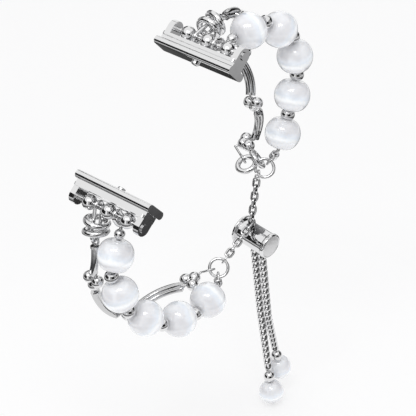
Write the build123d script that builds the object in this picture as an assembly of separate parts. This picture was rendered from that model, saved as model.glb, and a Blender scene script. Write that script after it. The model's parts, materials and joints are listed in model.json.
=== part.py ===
import os
from dataclasses import dataclass
from math import acos, asin, atan2, cos, pi, radians, sin, sqrt

from build123d import *

# Watch that the band fits, in millimetres and degrees
case_length = 40.0
hang_angle = 36.0
pin_overhang = 0.95
pin_drop = 0.85

# Adapter
rail_length = 22.0
rail_height = 5.6
rail_thickness = 1.8
neck_height = 3.6
neck_thickness = 0.8
plate_thickness = 0.7
plate_height = 4.6
ear_spacing = 19.4
ear_thickness = 1.5
ear_radius = 1.75
lip_thickness = 0.6
lip_clearance = 0.12
lip_sweep_angle = 30.0
edge_radius = 0.5

# Latch in the rail
button_radius = 0.9
button_flange = 0.3
button_flange_length = 0.5
button_travel = 0.6
button_projection = 0.7
button_mouth = 0.5
button_edge = 0.3
spring_thickness = 0.15
spring_width = 0.8
spring_length = 2.1
pocket_floor = 0.45

# Cross pin and its balls
pin_radius = 0.6
pin_head_radius = 0.95
pin_head = 0.3
ball_radius = 1.72
ball_spacing = 5.75

# Beads and what is strung with them
bead_radius = 4.05
bead_length = 7.0
bead_rim = 0.8
hole_radius = 0.45
bead_wire_radius = 0.38
bead_wire_bend = 1.5
spacer_radius = 1.6
spacer_length = 1.9
spacer_face_radius = 1.25
collar_radius = 1.2
collar_reach = 4.8
bead_offset = 2.6
string_gap = 0.05
crimp_radius = 0.95
crimp_length = 2.0

# Links on the cross pin, knots and eyes
link_wire_radius = 0.42
eye_radius = 1.05
eye_wire_radius = 0.26
metal_offset = 3.0
knot_radius = 2.35
knot_wire_radius = 0.7
knot_reaches = (3.5, 5.75)
knot_tilt_angles = (6.5, -9.0)
knot_link_reach = 7.8

# Metal strand
bar_radius = 0.68
bar_spacing = 0.5
bar_rise = 1.0
bar_gap = 0.4
ferrule_radius = 1.0
ferrule_length = 0.5
cluster_ball_radius = 1.4
cluster_pair_spacing = 1.25
core_radius = 0.25
core_turn_radius = 0.29
core_clearance = 0.07
end_turn_gap = 0.45
end_knot_radius = 2.1
end_knot_wire_radius = 0.6
end_knot_steps = (2.8, 2.7)
end_knot_turn_angles = (75.0, 0.0)

# End rings and chains
ring_radius = 2.1
ring_wire_radius = 0.36
ring_facing_angle = -40.0
ring_tilt_angle = 38.0
chain_pitch = 1.66
chain_width = 1.9
chain_wire_radius = 0.25
jump_radius = 1.23
jump_wire_radius = 0.22
tail_links = 15
tail_spacing = 2.4
upper_seat_fall_angle = 62.0
upper_seat_lean_angle = -20.0
upper_chain_links = 5
upper_chain_fall_angle = 19.0
upper_chain_lean_angle = 1.5
chain_bend_links = 2
lower_chain_links = 5
lower_chain_rise_angle = 17.0
lower_chain_lean_angle = -6.0
lower_bend_angles = (10.0,)

# Slider
slider_length = 8.0
slider_lean_angle = 8.0
barrel_radius = 2.8
barrel_wall = 0.4
flange_radius = 3.5
flange_thickness = 0.6
cap_radius = 3.05
cap_thickness = 1.1
cap_dome = 0.15
cap_plug_length = 0.4
slot_length = 4.8
slot_width = 2.7
core_recess = 0.8
grip_clearance = 0.12
slider_shift = -0.7
slider_below = 2.75

# Tails
tail_bead_radius = 3.0
tail_bead_length = 5.8
tail_bead_rim = 0.4
end_cap_radius = 1.4
head_pin_radius = 0.3
head_pin_head_radius = 0.8
head_pin_head = 0.3
pin_eye_radius = 0.56
pin_eye_wire_radius = 0.21
front_drop_links = 10
front_drop_lean_angle = 6.5
front_drop_facing_angle = -27.0
back_drop_links = 8
back_drop_lean_angle = 12.0
back_drop_facing_angle = 114.0

# Clearances
running_gap = 0.05
link_gap = 0.06
cut_overrun = 1.0

pin_reach = case_length / 2 + pin_overhang


@dataclass
class Half:
    """Angles and lengths of one half of the band; side is 1 above the case and -1 below it."""

    name: str
    side: int
    collar_heading_angle: float
    bead_heading_angles: tuple
    bead_lean_angles: tuple
    tail_heading_angle: float
    tail_lean_angle: float
    tail_reach: float
    knot_heading_angle: float
    end_knot_shares: tuple
    metal_heading_angles: tuple
    metal_lean_angles: tuple
    bar_roll_angles: tuple
    first_bar: float
    bar_length: float
    cluster_length: float


upper = Half(
    name="upper",
    side=1,
    collar_heading_angle=46,
    bead_heading_angles=(37, 80, 126, 151, 153),
    bead_lean_angles=(6, 5, 2, 0, -1),
    tail_heading_angle=148,
    tail_lean_angle=-26,
    tail_reach=6.5,
    knot_heading_angle=27,
    end_knot_shares=((-0.55, -0.2, 0.81), (-0.51, -0.81, -0.3)),
    metal_heading_angles=(55, 81, 120, 142, 135, 114, 129, 200),
    metal_lean_angles=(-6, -16, -16, 5, 23, 16, -11, -37),
    bar_roll_angles=(0, 0, 0, 0),
    first_bar=4.8,
    bar_length=8.3,
    cluster_length=4.1,
)

lower = Half(
    name="lower",
    side=-1,
    collar_heading_angle=53,
    bead_heading_angles=(29, 63, 99, 128, 152),
    bead_lean_angles=(1, 13, 16, 5, -6),
    tail_heading_angle=152,
    tail_lean_angle=-39,
    tail_reach=7.0,
    knot_heading_angle=36,
    end_knot_shares=(),
    metal_heading_angles=(49, 57, 82, 138, 150, 159),
    metal_lean_angles=(-9, -7, 1, 19, 21, 9),
    bar_roll_angles=(-60, 0, 180),
    first_bar=8.4,
    bar_length=11.5,
    cluster_length=4.8,
)


def turn(across, along, above):
    """Turn a vector from the watch's own directions to the hanging part's."""
    lean = radians(hang_angle)
    return Vector(across, along * cos(lean) - above * sin(lean), along * sin(lean) + above * cos(lean))


def place(half, across, outward, above):
    """Point at a distance outward from the case centre on one side of the watch."""
    return turn(across, half.side * outward, above)


def heading(half, angle, lean):
    """Unit direction: angle 0 leaves the case straight, 90 goes behind it; lean goes across."""
    flat = cos(radians(lean))
    return turn(
        sin(radians(lean)),
        half.side * cos(radians(angle)) * flat,
        -sin(radians(angle)) * flat,
    )


def across_axis():
    return Vector(1, 0, 0)


def square_to(vector, axis):
    """Part of a vector that is square to an axis, as a unit vector."""
    return (vector - axis * vector.dot(axis)).normalized()


def rod(start, end, radius):
    """Round rod from one point to another."""
    span = end - start
    return Solid.make_cylinder(radius, span.length, Plane(origin=start, z_dir=span.normalized()))


def ball(centre, radius):
    return Pos(*centre) * Sphere(radius)


def ring(centre, axis, radius, wire_radius):
    """Closed round ring of wire."""
    return Plane(origin=centre, z_dir=axis) * Torus(radius, wire_radius)


def oval_link(length, width, wire_radius):
    """Oval link with straight sides, long axis along X, lying in the XY plane."""
    bend = width / 2 - wire_radius
    half = (length - 2 * wire_radius) / 2 - bend
    path = Wire([
        Line((-half, -bend), (half, -bend)),
        CenterArc((half, 0), bend, -90, 180),
        Line((half, bend), (-half, bend)),
        CenterArc((-half, 0), bend, 90, 180),
    ])
    section = Plane(origin=(-half, -bend, 0), z_dir=(1, 0, 0)) * Circle(wire_radius)
    return sweep(section, path)


def pin_link(half, across, direction, reach, held_radius):
    """Oval link round the cross pin; its far wire's centre is at reach from the pin."""
    bend = max(pin_radius, held_radius) + running_gap + link_wire_radius
    length = reach + bend + 2 * link_wire_radius
    width = 2 * (bend + link_wire_radius)
    centre = pin_point(half, across) + direction * ((reach - bend) / 2)
    seat = Plane(origin=centre, x_dir=direction, z_dir=across_axis())
    return seat * oval_link(length, width, link_wire_radius)


def pin_point(half, across):
    return place(half, across, pin_reach, -pin_drop)


def strung_ball(centre, direction, radius, bore):
    """Ball with a bore along a direction."""
    body = Sphere(radius) - Cylinder(bore, 2 * (radius + cut_overrun))
    return Plane(origin=centre, z_dir=direction) * body


def bead_solid(radius, length, rim, bore):
    """Round bead with flat ends and rounded rims, its bore along Z."""
    half = length / 2
    rise = half - rim
    reach = sqrt((radius - rim) ** 2 - rise**2)
    turn = atan2(rise, reach) * 180 / pi
    outline = [
        CenterArc((0, 0), radius, -turn, 2 * turn),
        CenterArc((reach, rise), rim, turn, 90 - turn),
        Line((reach, half), (0, half)),
        Line((0, half), (0, -half)),
        Line((0, -half), (reach, -half)),
        CenterArc((reach, -rise), rim, -90, 90 - turn),
    ]
    body = revolve(Plane.XZ * make_face(outline), Axis.Z)
    return body - Cylinder(bore, length + 2 * cut_overrun)


def spacer_solid():
    """Small rondelle with rounded rim, its axis along Z, before it is bored."""
    half = spacer_length / 2
    outline = [
        Line((0, -half), (spacer_face_radius, -half)),
        ThreePointArc((spacer_face_radius, -half), (spacer_radius, 0), (spacer_face_radius, half)),
        Line((spacer_face_radius, half), (0, half)),
        Line((0, half), (0, -half)),
    ]
    return revolve(Plane.XZ * make_face(outline), Axis.Z)


# Layout of the bead strand


def bead_strand(half):
    """Bead centres, bead directions and the corners of the wire between beads."""
    directions = [heading(half, a, b) for a, b in zip(half.bead_heading_angles, half.bead_lean_angles)]
    out = radians(half.collar_heading_angle)
    start = place(
        half,
        bead_offset,
        pin_reach + collar_reach * cos(out),
        -pin_drop - collar_reach * sin(out),
    )
    centres = []
    corners = []
    step = collar_radius + string_gap + bead_length / 2
    point = start
    for index, direction in enumerate(directions):
        centre = point + direction * step
        centres.append(centre)
        if index + 1 < len(directions):
            bend = acos(direction.dot(directions[index + 1]))
            step = bead_length / 2 + spacer_length / 2 + spacer_face_radius * sin(bend / 2) + string_gap
            point = centre + direction * step
            corners.append(point)
    strand_end = centres[-1] + directions[-1] * (bead_length / 2 + string_gap)
    return start, centres, directions, corners, strand_end


def end_ring_frame(half):
    """Centre and normal of the ring that ends both strands."""
    strand_end = bead_strand(half)[-1]
    centre = strand_end + heading(half, half.tail_heading_angle, half.tail_lean_angle) * half.tail_reach
    flat = cos(radians(ring_tilt_angle))
    normal = Vector(
        flat * cos(radians(ring_facing_angle)),
        flat * sin(radians(ring_facing_angle)),
        sin(radians(ring_tilt_angle)),
    )
    return centre, normal


def ring_seat(half, toward):
    """Point on the end ring's wire nearest to another point, and the wire's direction there."""
    centre, normal = end_ring_frame(half)
    radial = square_to(toward - centre, normal)
    return centre + radial * ring_radius, normal.cross(radial)


def eye_at(seat, tangent, approach):
    """Wire eye round a ring's wire at its seat; approach points from the eye's wire to the seat."""
    return ring(seat, square_to(tangent, approach), eye_radius, eye_wire_radius)


def link_b_seat(half):
    """Centre of the bead wire's first eye, behind the collar ball."""
    start, _, directions, _, _ = bead_strand(half)
    return start - directions[0] * (collar_radius + string_gap + eye_radius + eye_wire_radius)


def bead_wire_route(half):
    _, _, directions, corners, strand_end = bead_strand(half)
    first = link_b_seat(half) + directions[0] * eye_radius
    seat, _ = ring_seat(half, strand_end)
    approach = (seat - strand_end).normalized()
    last = seat - approach * eye_radius
    bend = strand_end + directions[-1] * (bead_wire_bend / 2)
    return [first, *corners, bend, last], approach


def bead_wire(half):
    """Wire through the beads, with an eye at each end."""
    route, _ = bead_wire_route(half)
    _, _, directions, _, _ = bead_strand(half)
    seat, tangent = ring_seat(half, bead_strand(half)[-1])
    approach = (route[-1] - route[-2]).normalized()
    path = FilletPolyline(*route, radius=bead_wire_bend)
    section = Plane(origin=route[0], z_dir=directions[0]) * Circle(bead_wire_radius)
    body = sweep(section, path)
    link_end = link_b_seat(half)
    link_way = (link_end - pin_point(half, link_end.X)).normalized()
    first_eye = eye_at(link_end, across_axis().cross(link_way), (link_way * 2 + directions[0]).normalized())
    last_eye = eye_at(seat, tangent, approach)
    return body + first_eye + last_eye


def crimp(half):
    """Crimped sleeve on the wire beyond the last bead."""
    route, _ = bead_wire_route(half)
    approach = (route[-1] - route[-2]).normalized()
    end = route[-1] - approach * (eye_wire_radius + string_gap)
    start = end - approach * crimp_length
    bore = rod(start - approach, end + approach, bead_wire_radius + running_gap)
    sleeve = rod(start, end, crimp_radius) - bore
    rims = sleeve.edges().filter_by(GeomType.CIRCLE).sort_by(SortBy.RADIUS)[-2:]
    return fillet(rims, edge_radius / 2)


def spacers(half):
    """Rondelles at the corners of the wire, bored for its bend."""
    _, centres, directions, corners, _ = bead_strand(half)
    route, _ = bead_wire_route(half)
    path = FilletPolyline(*route, radius=bead_wire_bend)
    section = Plane(origin=route[0], z_dir=directions[0]) * Circle(bead_wire_radius + running_gap)
    bore = sweep(section, path)
    pieces = []
    for corner, before, after in zip(corners, directions, directions[1:]):
        blank = Plane(origin=corner, z_dir=(before + after).normalized()) * spacer_solid()
        pieces.append(blank - bore)
    return pieces


# Layout of the metal strand


def knot_point(half, reach):
    direction = heading(half, half.knot_heading_angle, 0)
    return pin_point(half, -metal_offset) + direction * reach


def metal_strand(half):
    """Corners of the metal strand: bars run from even to odd corners, clusters between them."""
    start = heading(half, half.metal_heading_angles[0], half.metal_lean_angles[0]) * eye_radius
    point = knot_point(half, knot_link_reach) + start
    corners = [point]
    for index, (angle, lean) in enumerate(zip(half.metal_heading_angles, half.metal_lean_angles)):
        length = half.cluster_length
        if index == len(half.metal_heading_angles) - 1:
            length += end_turn_gap
        if index == 0:
            length = half.first_bar
        elif index % 2 == 0:
            length = half.bar_length
        point = point + heading(half, angle, lean) * length
        corners.append(point)
    return corners


def bar_frame(half, start, end, roll):
    """Centre, radius, half angle and frame of a curved bar's arc."""
    chord = end - start
    along = chord.normalized()
    middle = (start + end) * 0.5
    outward = square_to(middle - place(half, middle.X, 0, -pin_reach), along)
    side = along.cross(outward)
    bulge = outward * cos(radians(roll)) + side * sin(radians(roll))
    rise = bar_rise * chord.length / half.bar_length
    radius = (chord.length * chord.length / 4 + rise * rise) / (2 * rise)
    half_angle = asin(chord.length / 2 / radius)
    centre = middle - bulge * (radius - rise)
    frame = Plane(origin=centre, x_dir=bulge, z_dir=bulge.cross(along))
    return frame, radius, half_angle


def arc_of(section, radius, start_angle, sweep_angle):
    """Section at a radius from Z, revolved between two angles given in radians."""
    placed = Plane.XZ * Pos(radius, 0) * section
    body = revolve(placed, Axis.Z, sweep_angle * 180 / pi)
    return Rot(0, 0, start_angle * 180 / pi) * body


def curved_bar(half, start, end, roll):
    """Two round bars side by side in one curve, joined by a ferrule at each end."""
    frame, radius, half_angle = bar_frame(half, start, end, roll)
    trim = bar_gap / radius
    low = trim - half_angle
    span = 2 * (half_angle - trim)
    profile = Pos(bar_spacing, 0) * Circle(bar_radius) + Pos(-bar_spacing, 0) * Circle(bar_radius)
    body = arc_of(profile, radius, low, span)
    end_span = ferrule_length / radius
    body += arc_of(Circle(ferrule_radius), radius, low, end_span)
    body += arc_of(Circle(ferrule_radius), radius, low + span - end_span, end_span)
    overrun = trim / 2
    body -= arc_of(Circle(core_radius + core_clearance), radius, low - overrun, span + 2 * overrun)
    return frame * body


def bars(half):
    corners = metal_strand(half)
    pieces = []
    for index, roll in enumerate(half.bar_roll_angles):
        pieces.append(curved_bar(half, corners[2 * index], corners[2 * index + 1], roll))
    return pieces


def cluster(half, start, end):
    """Two balls side by side and one beyond them, cast together and bored along the strand."""
    along = (end - start).normalized()
    side = square_to(across_axis(), along)
    first = start + along * (cluster_ball_radius + bar_gap / 2)
    last = start + along * (half.cluster_length - cluster_ball_radius - bar_gap / 2)
    centres = (first + side * cluster_pair_spacing, first - side * cluster_pair_spacing, last)
    body = Part()
    for centre in centres:
        body += Plane(origin=centre, x_dir=along.cross(side), z_dir=along) * Sphere(cluster_ball_radius)
    reach = along * cut_overrun
    return body - rod(start - reach, end + reach, core_radius + core_clearance)


def clusters(half):
    corners = metal_strand(half)
    pieces = []
    for index in range(1, len(corners) - 1, 2):
        pieces.append(cluster(half, corners[index], corners[index + 1]))
    return pieces


def turned(vector, axis, angle):
    """Vector turned about a unit axis by an angle in degrees."""
    turn_angle = radians(angle)
    level = vector - axis * vector.dot(axis)
    return axis * vector.dot(axis) + level * cos(turn_angle) + axis.cross(level) * sin(turn_angle)


def end_knot(half):
    """Centres and normals of the interlocked rings beyond the end ring, end ring side first."""
    centre, normal = end_ring_frame(half)
    rings = []
    for shares, step, angle in zip(half.end_knot_shares, end_knot_steps, end_knot_turn_angles):
        away = Vector(*shares).normalized()
        centre = centre + away * step
        normal = square_to(turned(square_to(normal, away), away, angle), away)
        rings.append((centre, normal))
    return rings


def end_knot_rings(half):
    return [ring(centre, normal, end_knot_radius, end_knot_wire_radius) for centre, normal in end_knot(half)]


def knot_ring(half, index):
    """Thick ring threaded on the knot's link, leaning a little across the strand."""
    along = heading(half, half.knot_heading_angle, 0)
    tilt = radians(knot_tilt_angles[index])
    axis = along * cos(tilt) - across_axis() * sin(tilt)
    return ring(knot_point(half, knot_reaches[index]), axis, knot_radius, knot_wire_radius)


def knot_eye(half):
    """Eye of the metal strand's wire round the far end of the knot's link."""
    along = heading(half, half.knot_heading_angle, 0)
    first = heading(half, half.metal_heading_angles[0], half.metal_lean_angles[0])
    seat = knot_point(half, knot_link_reach)
    return eye_at(seat, across_axis().cross(along), (along + first * 2).normalized())


def metal_end(half):
    """Seat of the strand's last eye and the direction of the wire that it holds."""
    corner = metal_strand(half)[-1]
    rings = end_knot(half)
    if not rings:
        return ring_seat(half, corner)
    centre, normal = rings[-1]
    radial = square_to(corner - centre, normal)
    return centre + radial * end_knot_radius, normal.cross(radial)


def knuckle(before, corner, after):
    """Ball at a turn of the core wire, its poles and seam clear of the wire on both sides."""
    arriving = (corner - before).normalized()
    leaving = (after - corner).normalized()
    pole = arriving.cross(leaving).normalized()
    seat = Plane(origin=corner, x_dir=square_to(arriving - leaving, pole), z_dir=pole)
    return seat * Sphere(core_turn_radius)


def metal_wire(half):
    """Core wire of the metal strand, with an eye on the knot and an eye at the far end."""
    corners = metal_strand(half)
    seat, tangent = metal_end(half)
    stops = [knot_point(half, knot_link_reach), *corners, seat]
    body = knuckle(*stops[:3])
    for index, roll in enumerate(half.bar_roll_angles):
        start, end, after = corners[2 * index:2 * index + 3]
        frame, radius, half_angle = bar_frame(half, start, end, roll)
        body += frame * arc_of(Circle(core_radius), radius, -half_angle, 2 * half_angle)
        body += knuckle(start, end, after)
        body += rod(end, after, core_radius)
        body += knuckle(end, after, stops[2 * index + 4])
    approach = (seat - corners[-1]).normalized()
    body += rod(corners[-1], seat - approach * eye_radius, core_radius)
    body += eye_at(seat, tangent, approach)
    return body + knot_eye(half)


def bead_link(half):
    """Oval link from the cross pin to the bead wire's first eye."""
    link_end = link_b_seat(half)
    reach = link_end - pin_point(half, link_end.X)
    return pin_link(half, link_end.X, reach.normalized(), reach.length, eye_wire_radius)


def knot_link(half):
    """Oval link from the cross pin to the first ring of the knot."""
    along = heading(half, half.knot_heading_angle, 0)
    return pin_link(half, -metal_offset, along, knot_link_reach, eye_wire_radius)


def collar(half):
    start, _, directions, _, _ = bead_strand(half)
    return strung_ball(start, directions[0], collar_radius, bead_wire_radius + running_gap)


# Adapter, drawn with Y outward from the watch and Z above it


def on_watch(half, solid):
    """Put a piece drawn in the watch's directions on its side of the hanging part."""
    half_turn = 180 if half.side < 0 else 0
    return Rot(hang_angle, 0, 0) * Rot(0, 0, half_turn) * solid


def plate_face():
    """Distance from the case centre to the plate's outer face."""
    return pin_reach - ball_radius - running_gap


def block(width, near, far, height):
    """Box across the watch between two distances outward, centred on the pin's height."""
    return Pos(0, (near + far) / 2, -pin_drop) * Box(width, far - near, height)


def ear(side):
    """Ear round one end of the cross pin."""
    near = plate_face() - plate_thickness
    middle = side * ear_spacing / 2
    slab = Pos(middle, 0, 0) * block(ear_thickness, near, pin_reach, 2 * ear_radius)
    nose = Pos(middle, pin_reach, -pin_drop) * Rot(0, 90, 0) * Cylinder(ear_radius, ear_thickness)
    return slab + nose


def lip():
    """Curved lip under the balls, an arc about the cross pin."""
    inner = ball_radius + lip_clearance
    outer = inner + lip_thickness
    middle = (inner + outer) / 2
    profile = Pos(middle, 0) * Rectangle(lip_thickness, ear_spacing)
    arc = revolve(Plane.XY * profile, Axis.Y, lip_sweep_angle)
    upright = Plane(origin=(0, pin_reach, -pin_drop), x_dir=(0, -1, 0), z_dir=(0, 0, 1))
    return upright * arc


def button_axis_cylinder(radius, near, far):
    """Cylinder along the latch's axis, between two distances outward."""
    return Pos(0, (near + far) / 2, -pin_drop) * Rot(90, 0, 0) * Cylinder(radius, far - near)


def rail_face():
    """Distance from the case centre to the rail's inner face."""
    return plate_face() - plate_thickness - neck_thickness - rail_thickness


def adapter(half):
    """Lug rail, neck, plate, lip and ears of one adapter."""
    face = plate_face()
    back = face - plate_thickness
    rail = block(rail_length, rail_face(), rail_face() + rail_thickness, rail_height)
    rail = fillet(rail.edges().filter_by(Axis.X), rail_thickness / 2 - running_gap)
    plate = block(ear_spacing + ear_thickness, back, face, plate_height)
    plate = fillet(plate.edges().filter_by(Axis.Y), edge_radius)
    body = rail + block(rail_length - 2 * edge_radius, back - neck_thickness, back, neck_height)
    body = body + plate + lip() + ear(1) + ear(-1)
    flange = button_radius + button_flange + running_gap
    mouth = rail_face() + button_mouth
    body -= button_axis_cylinder(flange, mouth, face - pocket_floor)
    body -= button_axis_cylinder(button_radius + running_gap, rail_face() - cut_overrun, mouth)
    hole = Pos(0, pin_reach, -pin_drop) * Rot(0, 90, 0)
    body -= hole * Cylinder(pin_radius + running_gap / 2, ear_spacing + ear_thickness + 2 * cut_overrun)
    return on_watch(half, body)


def latch_button(half):
    """Button that springs into the watch's lug slot."""
    tip = rail_face() - button_projection
    shoulder = rail_face() + button_mouth + running_gap
    stem = button_axis_cylinder(button_radius, tip, shoulder)
    tip_edge = stem.edges().filter_by(GeomType.CIRCLE).sort_by(Axis.Y)[0]
    stem = fillet(tip_edge, button_edge)
    flange = button_axis_cylinder(button_radius + button_flange, shoulder, shoulder + button_flange_length)
    return on_watch(half, stem + flange)


def latch_spring(half):
    """Arched leaf behind the button, drawn as it is with the button pressed."""
    floor_face = plate_face() - pocket_floor - running_gap / 2
    pressed = rail_face() + button_mouth + button_flange_length + button_travel + 2 * running_gap
    half_span = spring_length / 2
    outer = ThreePointArc((-half_span, floor_face), (0, pressed), (half_span, floor_face))
    inner = ThreePointArc(
        (half_span - spring_thickness, floor_face),
        (0, pressed + spring_thickness),
        (-half_span + spring_thickness, floor_face),
    )
    feet = [
        Line((half_span, floor_face), (half_span - spring_thickness, floor_face)),
        Line((-half_span + spring_thickness, floor_face), (-half_span, floor_face)),
    ]
    face = make_face([outer, feet[0], inner, feet[1]])
    leaf = extrude(face, spring_width / 2, both=True)
    return on_watch(half, Pos(0, 0, -pin_drop) * leaf)


def cross_pin(half):
    """Pin through both ears, riveted over at its ends."""
    end = ear_spacing / 2 + ear_thickness / 2 + running_gap / 2
    place_pin = Pos(0, pin_reach, -pin_drop) * Rot(0, 90, 0)
    body = Cylinder(pin_radius, 2 * end + pin_head)
    for side in (-1, 1):
        head = Pos(0, 0, side * (end + pin_head / 2)) * Cylinder(pin_head_radius, pin_head)
        body += head
    return on_watch(half, place_pin * body)


def pin_balls(half):
    """Three balls on the cross pin."""
    pieces = []
    for index in (-1, 0, 1):
        centre = Vector(index * ball_spacing, pin_reach, -pin_drop)
        ball = strung_ball(centre, across_axis(), ball_radius, pin_radius + running_gap)
        pieces.append(on_watch(half, ball))
    return pieces


# Chains


def chain_link():
    length = chain_pitch + link_gap + 4 * chain_wire_radius
    return oval_link(length, chain_width, chain_wire_radius)


def chain(joints, first_normal):
    """Links between joints, each a quarter turn from the one before."""
    blank = chain_link()
    pieces = []
    normal = first_normal
    for start, end in zip(joints, joints[1:]):
        along = (end - start).normalized()
        normal = square_to(normal, along)
        pieces.append(Plane(origin=(start + end) * 0.5, x_dir=along, z_dir=normal) * blank)
        normal = along.cross(normal)
    return pieces


def slanted(fall, lean):
    """Unit direction at an angle from straight down towards -Y, leaning across."""
    flat = cos(radians(lean))
    return Vector(sin(radians(lean)), -sin(radians(fall)) * flat, -cos(radians(fall)) * flat)


def chain_start(half, direction, seat_direction):
    """Centre of the jump ring on the end ring, its axis and the chain's first joint."""
    centre, normal = end_ring_frame(half)
    seat, tangent = ring_seat(half, centre + seat_direction)
    jump_axis = square_to(tangent, direction)
    slanted_wire = ring_wire_radius / abs(tangent.dot(jump_axis))
    far_wire = seat + direction * (2 * jump_radius - jump_wire_radius - slanted_wire - 3 * link_gap)
    first = far_wire - direction * (jump_wire_radius + link_gap / 2)
    return far_wire - direction * jump_radius, jump_axis, first


def upper_start():
    direction = slanted(upper_chain_fall_angle, upper_chain_lean_angle)
    return chain_start(upper, direction, slanted(upper_seat_fall_angle, upper_seat_lean_angle)), direction


def upper_joints():
    """Joints of the chain from the upper ring to where it hangs straight down."""
    (_, _, point), _ = upper_start()
    joints = [point]
    for index in range(upper_chain_links + chain_bend_links):
        bent = max(0, index + 1 - upper_chain_links) / (chain_bend_links + 1)
        step = slanted(upper_chain_fall_angle * (1 - bent), upper_chain_lean_angle * (1 - bent))
        point = point + step * chain_pitch
        joints.append(point)
    return joints


def rising(angle, lean):
    """Unit direction towards +Y, rising at an angle and leaning across."""
    return slanted(-90 - angle, lean)


def lower_start():
    direction = rising(lower_chain_rise_angle, lower_chain_lean_angle)
    return chain_start(lower, direction, direction), direction


def lower_joints():
    """Joints of the chain from the lower ring up to the slider's mouth."""
    (_, _, point), direction = lower_start()
    joints = [point]
    for _ in range(lower_chain_links):
        point = point + direction * chain_pitch
        joints.append(point)
    for bend in lower_bend_angles:
        point = point + rising(lower_chain_rise_angle - bend, lower_chain_lean_angle) * chain_pitch
        joints.append(point)
    return joints


def down():
    return Vector(0, 0, -1)


def front_joints():
    """Joints of the straight tail that carries on from the upper chain."""
    start = upper_joints()[-1]
    return [start + down() * (chain_pitch * index) for index in range(tail_links + 1)]


def back_joints():
    """Joints of the other tail, which starts in the slider's mouth."""
    skipped = 1
    return [joint + across_axis() * tail_spacing for joint in front_joints()[skipped:]]


def drop_joints(start, count, lean, facing):
    """Joints of a loose tail end that leans out towards a facing angle."""
    out = sin(radians(lean))
    direction = Vector(out * cos(radians(facing)), out * sin(radians(facing)), -cos(radians(lean)))
    return [start + direction * (chain_pitch * index) for index in range(count + 1)]


def slider_centre():
    """Centre of the barrel; its bore is centred between the two tails."""
    bore = front_joints()[0] + across_axis() * (tail_spacing / 2)
    return bore + down() * slider_below + across_axis() * slider_shift


def jump_ring(start):
    centre, axis, _ = start
    return ring(centre, axis, jump_radius, jump_wire_radius)


def end_ring(half):
    centre, normal = end_ring_frame(half)
    return ring(centre, normal, ring_radius, ring_wire_radius)


def next_normal(joints, first_normal):
    """Normal of the link that follows a chain's last one."""
    normal = first_normal
    for start, end in zip(joints, joints[1:]):
        along = (end - start).normalized()
        normal = along.cross(square_to(normal, along))
    return normal


def upper_normal():
    (_, axis, _), direction = upper_start()
    return axis.cross(direction)


def upper_chain():
    start, _ = upper_start()
    return [jump_ring(start), *chain(upper_joints(), upper_normal())]


def lower_chain():
    start, direction = lower_start()
    return [jump_ring(start), *chain(lower_joints(), start[1].cross(direction))]


def front_normal():
    return next_normal(upper_joints(), upper_normal())


# Slider, drawn along Z from its open rim to its cap


def along_barrel(solid):
    """Turn a piece drawn along Z to lie along the barrel, which runs across with its cap end low."""
    return Pos(*slider_centre()) * Rot(0, 90 + slider_lean_angle, 0) * solid


def bored(solid, length, width):
    """Cut the slot for the two tails in a piece that lies at its place."""
    centre = slider_centre() - across_axis() * slider_shift
    cutter = extrude(SlotOverall(length, width), flange_radius + cut_overrun, both=True)
    return solid - Pos(*centre) * cutter


def slider_barrel():
    """Barrel with an open flanged rim at its far end."""
    half = slider_length / 2
    tube = Cylinder(barrel_radius, slider_length)
    rim = Pos(0, 0, -half + flange_thickness / 2) * Cylinder(flange_radius, flange_thickness)
    rim = fillet(rim.edges().filter_by(GeomType.CIRCLE), flange_thickness / 3)
    body = tube + rim - Cylinder(barrel_radius - barrel_wall, slider_length + 2 * cut_overrun)
    return bored(along_barrel(body), slot_length, slot_width)


def slider_cap():
    """Slightly domed cap with a plug that fits in the barrel."""
    half = slider_length / 2
    disc = Cylinder(cap_radius, cap_thickness)
    disc = fillet(disc.edges().filter_by(GeomType.CIRCLE), cap_thickness / 3)
    dome_radius = (cap_radius * cap_radius + cap_dome * cap_dome) / (2 * cap_dome)
    rise = Pos(0, 0, cap_thickness / 2 + cap_dome - dome_radius) * Sphere(dome_radius)
    blank = Pos(0, 0, cap_thickness / 2) * Cylinder(cap_radius - cap_thickness / 3, 2 * cap_dome)
    disc = disc + (blank & rise)
    plug = Pos(0, 0, -(cap_thickness + cap_plug_length) / 2)
    plug = plug * Cylinder(barrel_radius - barrel_wall - running_gap / 2, cap_plug_length)
    return along_barrel(Pos(0, 0, half + running_gap / 2 + cap_thickness / 2) * (disc + plug))


def slider_core():
    """Rubber core that grips the two tails."""
    low = -slider_length / 2 + core_recess
    high = slider_length / 2 - cap_plug_length - running_gap
    body = Pos(0, 0, (low + high) / 2) * Cylinder(barrel_radius - barrel_wall - running_gap / 2, high - low)
    length = tail_spacing + chain_width + 2 * grip_clearance
    return bored(along_barrel(body), length, chain_width + 2 * grip_clearance)


# Tail ends


def tail_end(joints, first_normal):
    """Places of the head pin's eye, end cap and bead below a tail's last joint."""
    along = (joints[-1] - joints[-2]).normalized()
    eye = joints[-1] + along * (pin_eye_radius - pin_eye_wire_radius - link_gap / 2)
    cap = eye + along * (pin_eye_radius + pin_eye_wire_radius / 2 + end_cap_radius)
    bead = cap + along * (end_cap_radius + string_gap + tail_bead_length / 2)
    tail = bead + along * (tail_bead_length / 2 + string_gap)
    return along, eye, cap, bead, tail, next_normal(joints, first_normal)


def head_pin(joints, first_normal):
    """Pin with an eye in the chain's last link and a small head under the bead."""
    along, eye, _, _, tail, quarter = tail_end(joints, first_normal)
    body = rod(eye + along * pin_eye_radius, tail + along * (head_pin_head / 2), head_pin_radius)
    body += ring(eye, quarter, pin_eye_radius, pin_eye_wire_radius)
    head = rod(tail, tail + along * head_pin_head, head_pin_head_radius)
    return body + fillet(head.edges().filter_by(GeomType.CIRCLE), head_pin_head / 3)


def end_cap(joints, first_normal):
    along, _, cap, _, _, _ = tail_end(joints, first_normal)
    return strung_ball(cap, along, end_cap_radius, head_pin_radius + running_gap)


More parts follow.
